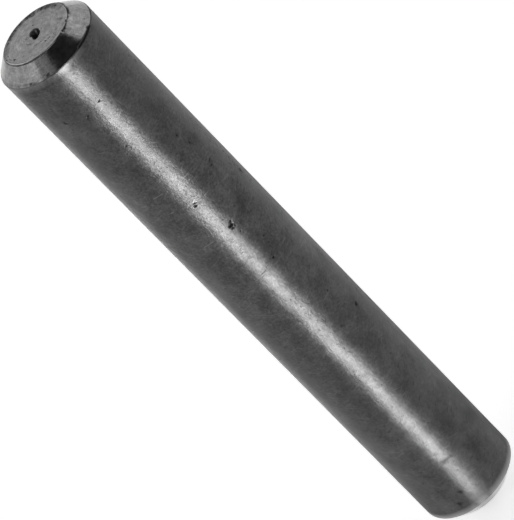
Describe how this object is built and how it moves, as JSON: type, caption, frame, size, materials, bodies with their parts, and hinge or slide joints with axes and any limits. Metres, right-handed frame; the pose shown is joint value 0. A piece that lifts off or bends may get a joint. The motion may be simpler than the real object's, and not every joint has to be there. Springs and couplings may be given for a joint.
{
  "type": "propeller shear pin",
  "caption": "Plain round steel shear pin for a boat propeller, with a 45 degree chamfer at each end and a small centre dimple in one end face.",
  "frame": {"origin": "centre of the plain lower end face, which the pin stands on", "axes": "+Z along the pin's axis, from the plain end towards the dimpled end"},
  "size_m": [0.0048, 0.0048, 0.0318],
  "materials": {
    "worn_steel": "ground bare steel, dulled to dark grey, with fine marks round the body and small dark pits"
  },
  "bodies": {
    "root": {"shear_pin": "worn_steel"}
  },
  "joints": []
}
